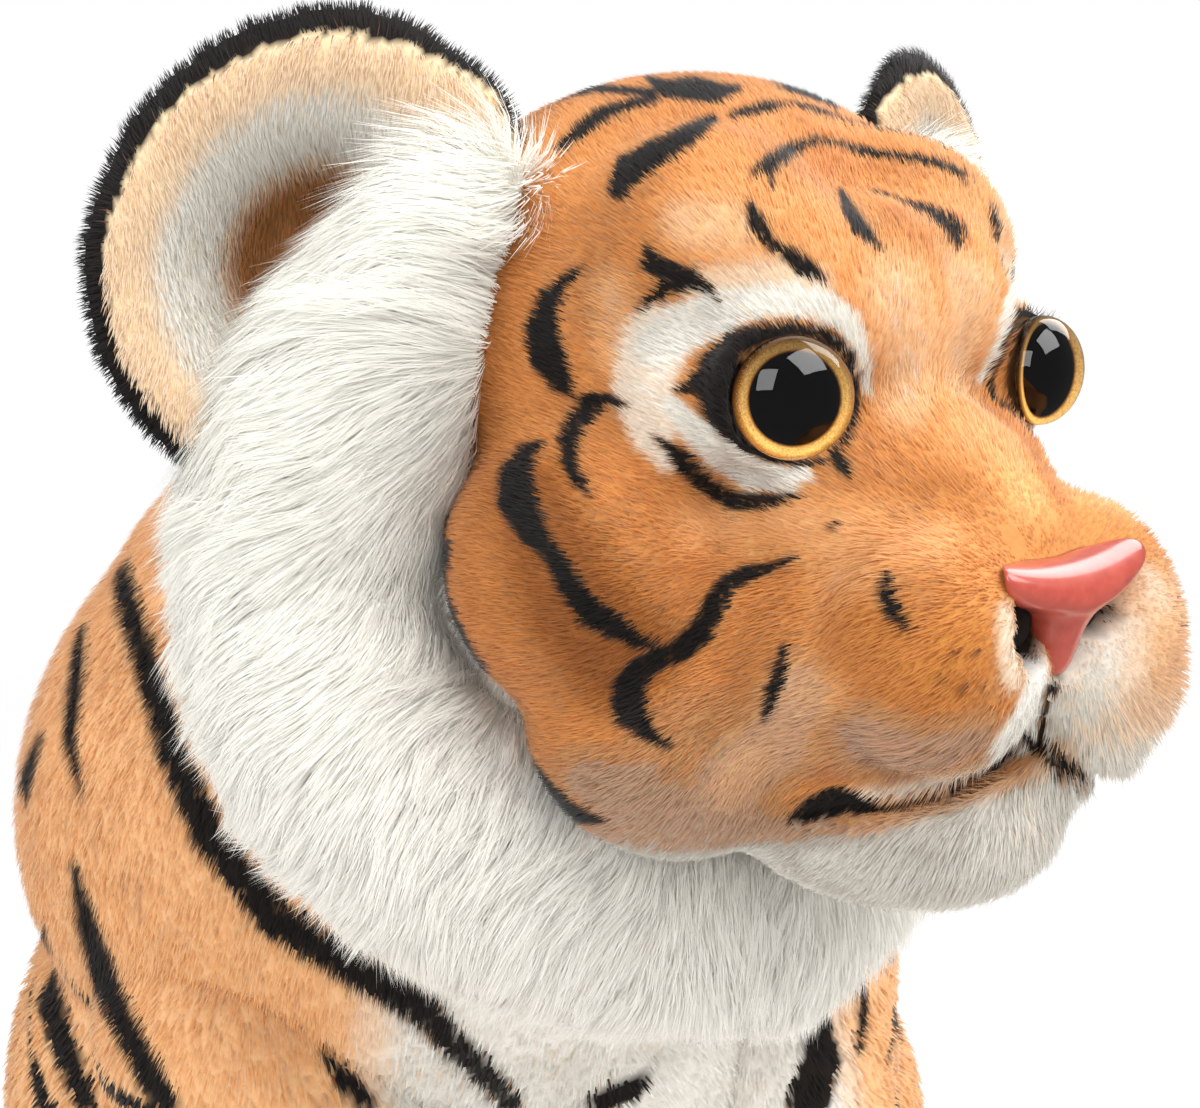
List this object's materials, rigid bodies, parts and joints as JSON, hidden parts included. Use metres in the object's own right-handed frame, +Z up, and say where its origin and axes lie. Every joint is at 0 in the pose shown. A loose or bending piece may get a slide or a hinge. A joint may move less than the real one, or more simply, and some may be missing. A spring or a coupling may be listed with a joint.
{
  "type": "plush tiger",
  "caption": "Sitting plush tiger, sewn skins over fibre filling, long white ruff, dished ears, screw-on eyes and nose; soft neck turns and tail swings.",
  "frame": {"origin": "middle of the flat seat under the torso, on the ground", "axes": "+Z up, -Y the way the tiger looks, +X the tiger's left"},
  "size_m": [0.4805, 0.7296, 0.6053],
  "materials": {
    "orange_plush": "short woven pile, orange with dyed black stripes",
    "cream_plush": "short woven pile, cream to tan",
    "white_plush": "short woven pile, warm white",
    "white_long_pile": "long brushed pile, warm white",
    "black_plush": "short woven pile, black",
    "fibre_filling": "loose polyester fibre",
    "eye_clear": "clear dome over a painted amber iris and black pupil",
    "eye_backing": "moulded, dark brown",
    "nose_plastic": "moulded, glossy pink",
    "washer_plastic": "moulded, natural"
  },
  "bodies": {
    "torso": {"torso_cover": "orange_plush", "torso_filling": "fibre_filling", "front_leg_left": "orange_plush", "front_leg_right": "orange_plush", "haunch_left": "orange_plush", "haunch_right": "orange_plush", "hind_foot_left": "orange_plush", "hind_foot_right": "orange_plush"},
    "head": {"head_cover": "orange_plush", "head_filling": "fibre_filling", "muzzle": "cream_plush", "chin": "white_plush", "neck": "orange_plush", "ruff_left": "white_long_pile", "ruff_right": "white_long_pile", "ear_back_left": "black_plush", "ear_back_right": "black_plush", "ear_front_left": "cream_plush", "ear_front_right": "cream_plush", "eye_lens_left": "eye_clear", "eye_lens_right": "eye_clear", "eye_shank_left": "eye_backing", "eye_shank_right": "eye_backing", "eye_washer_left": "washer_plastic", "eye_washer_right": "washer_plastic", "nose": "nose_plastic", "nose_washer": "washer_plastic"},
    "tail": {"tail": "orange_plush", "tail_tip": "black_plush"}
  },
  "joints": [
    {"name": "head_turn", "type": "hinge", "parent": "torso", "child": "head", "pos_m": [0, -0.12502, 0.40508], "axis": [0, -0.866, 0.5], "range_deg": [-12, 12], "stiffness_Nm_per_rad": 3},
    {"name": "tail_swing", "type": "hinge", "parent": "torso", "child": "tail", "pos_m": [0, 0.1488, 0.0345], "axis": [0, 0, 1], "range_deg": [-18, 18]}
  ]
}
